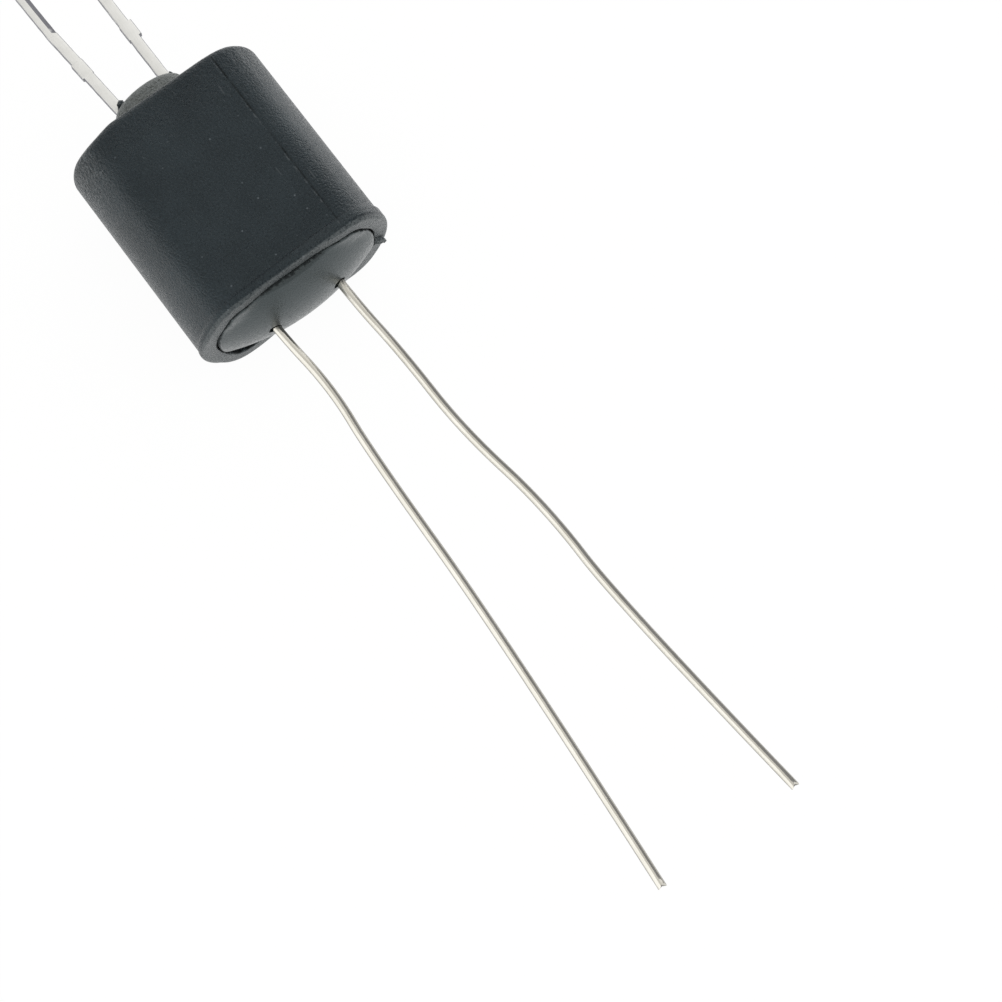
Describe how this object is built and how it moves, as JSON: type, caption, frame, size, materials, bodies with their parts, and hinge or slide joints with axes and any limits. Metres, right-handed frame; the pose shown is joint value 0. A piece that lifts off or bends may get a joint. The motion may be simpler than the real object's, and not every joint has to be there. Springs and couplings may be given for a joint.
{
  "type": "optocoupler",
  "caption": "Black moulded optocoupler: flat stamped LED legs leave a bossed closed end, round photoresistor wires leave a domed plug in the beaded open end.",
  "frame": {"origin": "middle of the housing's flat back face", "axes": "+X along the leads towards the photoresistor's wires, +Z out of the front face, away from the back"},
  "size_m": [0.0656, 0.01, 0.007],
  "materials": {
    "housing_plastic": "fine matt mould grain",
    "plug_plastic": "smooth satin",
    "led_epoxy": "clear cast",
    "stamped_leg": "tinned, matt",
    "led_chip": "sawn",
    "bond_gold": "bright",
    "ldr_ceramic": "fired, matt",
    "ldr_film": "sintered, matt",
    "comb_metal": "evaporated, satin",
    "joint_paste": "silver paste, matt",
    "clear_coat": "clear gloss",
    "tinned_wire": "bright drawn, tinned"
  },
  "bodies": {
    "root": {"housing": "housing_plastic", "end_plug": "plug_plastic", "led_lens": "led_epoxy", "led_cathode_lead": "stamped_leg", "led_anode_lead": "stamped_leg", "led_die": "led_chip", "led_bond_wire": "bond_gold", "ldr_substrate": "ldr_ceramic", "ldr_film": "ldr_film", "ldr_electrode_a": "comb_metal", "ldr_electrode_b": "comb_metal", "ldr_joint_a": "joint_paste", "ldr_joint_b": "joint_paste", "ldr_coating": "clear_coat", "ldr_lead_a": "tinned_wire", "ldr_lead_b": "tinned_wire"}
  },
  "joints": []
}
